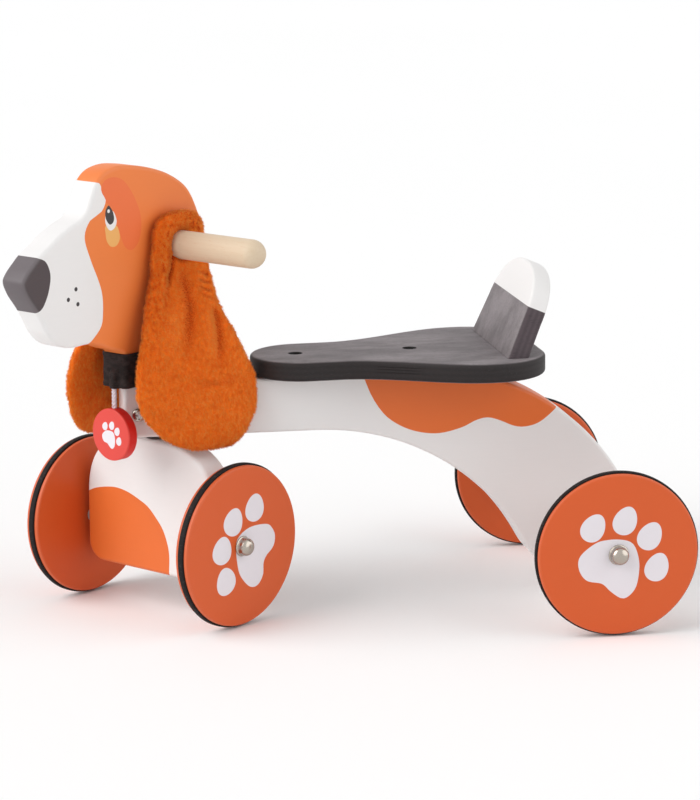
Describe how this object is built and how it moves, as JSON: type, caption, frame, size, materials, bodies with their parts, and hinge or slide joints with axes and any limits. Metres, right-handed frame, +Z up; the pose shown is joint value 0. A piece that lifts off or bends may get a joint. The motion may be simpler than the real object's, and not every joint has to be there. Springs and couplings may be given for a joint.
{
  "type": "ride-on toy",
  "caption": "Wooden ride-on dog with an arched beam, a shaped seat with a tail board, and a steered flat head with a cross handle, plush ears, a collar tag and paw-print wheels",
  "frame": {"origin": "on the ground under the middle of the toy's bounding box, with the head at its pictured left lock", "axes": "+X points to the tail, the dog faces -X and its left side is towards -Y, +Z is up"},
  "size_m": [0.5648, 0.336, 0.3872],
  "materials": {
    "white_paint": "satin white paint on wood, with orange patches",
    "orange_paint": "satin orange paint on wood",
    "grey_stain": "dark grey stain on plywood",
    "natural_wood": "clear-lacquered beech",
    "orange_plush": "short-pile plush",
    "black_fabric": "woven band",
    "white_cord": "twisted cord",
    "red_paint": "satin red paint on wood",
    "black_rubber": "matt rubber",
    "nickel": "bright nickel plating",
    "zinc_steel": "zinc-plated steel",
    "white_nylon": "natural nylon"
  },
  "bodies": {
    "chassis": {"beam": "white_paint", "rear_crossbar": "white_paint", "rear_axle": "zinc_steel", "rear_washer_left": "zinc_steel", "rear_washer_right": "zinc_steel", "rear_axle_cap_left": "nickel", "rear_axle_cap_right": "nickel", "seat": "grey_stain", "seat_screw_front": "zinc_steel", "seat_screw_rear": "zinc_steel", "tail_board": "grey_stain", "tail_screw_left": "zinc_steel", "tail_screw_right": "zinc_steel", "cross_bolt": "zinc_steel", "cross_bolt_nut": "zinc_steel", "steering_bearing_upper": "white_nylon", "steering_bearing_lower": "white_nylon"},
    "steering": {"thrust_washer_lower": "zinc_steel", "thrust_washer_upper": "zinc_steel", "front_block": "white_paint", "steering_post": "zinc_steel", "post_pin_lower": "zinc_steel", "post_pin_upper": "zinc_steel", "head_board": "orange_paint", "handle": "natural_wood", "collar": "black_fabric", "front_axle": "zinc_steel", "front_spacer_left": "zinc_steel", "front_spacer_right": "zinc_steel", "front_axle_cap_left": "nickel", "front_axle_cap_right": "nickel"},
    "left_ear": {"ear_left": "orange_plush"},
    "right_ear": {"ear_right": "orange_plush"},
    "tag_hanger": {"tag_cord": "white_cord"},
    "tag_disc": {"tag": "red_paint"},
    "wheel_front_left": {"front_wheel_left": "orange_paint", "front_tyre_left": "black_rubber", "front_hub_bush_left": "white_nylon"},
    "wheel_front_right": {"front_wheel_right": "orange_paint", "front_tyre_right": "black_rubber", "front_hub_bush_right": "white_nylon"},
    "wheel_rear_left": {"rear_wheel_left": "orange_paint", "rear_tyre_left": "black_rubber", "rear_hub_bush_left": "white_nylon"},
    "wheel_rear_right": {"rear_wheel_right": "orange_paint", "rear_tyre_right": "black_rubber", "rear_hub_bush_right": "white_nylon"}
  },
  "joints": [
    {"name": "steering_turn", "type": "hinge", "parent": "chassis", "child": "steering", "pos_m": [-0.1469, 0, 0.175], "axis": [0, 0, 1], "range_deg": [-79, 0]},
    {"name": "left_ear_swing", "type": "hinge", "parent": "steering", "child": "left_ear", "pos_m": [-0.14535, 0.00127, 0.3169], "axis": [-0.6361, 0.7716, 0], "range_deg": [0, 40]},
    {"name": "right_ear_swing", "type": "hinge", "parent": "steering", "child": "right_ear", "pos_m": [-0.14535, 0.00127, 0.3169], "axis": [-0.6361, 0.7716, 0], "range_deg": [0, 40]},
    {"name": "tag_swing", "type": "hinge", "parent": "steering", "child": "tag_hanger", "pos_m": [-0.18838, -0.03614, 0.21097], "axis": [-0.6361, 0.7716, 0], "range_deg": [0, 75]},
    {"name": "tag_twist", "type": "hinge", "parent": "tag_hanger", "child": "tag_disc", "pos_m": [-0.18838, -0.03614, 0.16217], "axis": [0, 0, 1], "range_deg": [-30, 30]},
    {"name": "front_left_wheel_roll", "type": "hinge", "parent": "steering", "child": "wheel_front_left", "pos_m": [-0.09156, -0.06713, 0.07], "axis": [-0.6361, 0.7716, 0], "continuous": true},
    {"name": "front_right_wheel_roll", "type": "hinge", "parent": "steering", "child": "wheel_front_right", "pos_m": [-0.20224, 0.06713, 0.07], "axis": [-0.6361, 0.7716, 0], "continuous": true},
    {"name": "rear_left_wheel_roll", "type": "hinge", "parent": "chassis", "child": "wheel_rear_left", "pos_m": [0.2126, -0.15285, 0.07], "axis": [0, 1, 0], "continuous": true},
    {"name": "rear_right_wheel_roll", "type": "hinge", "parent": "chassis", "child": "wheel_rear_right", "pos_m": [0.2126, 0.15285, 0.07], "axis": [0, 1, 0], "continuous": true}
  ]
}
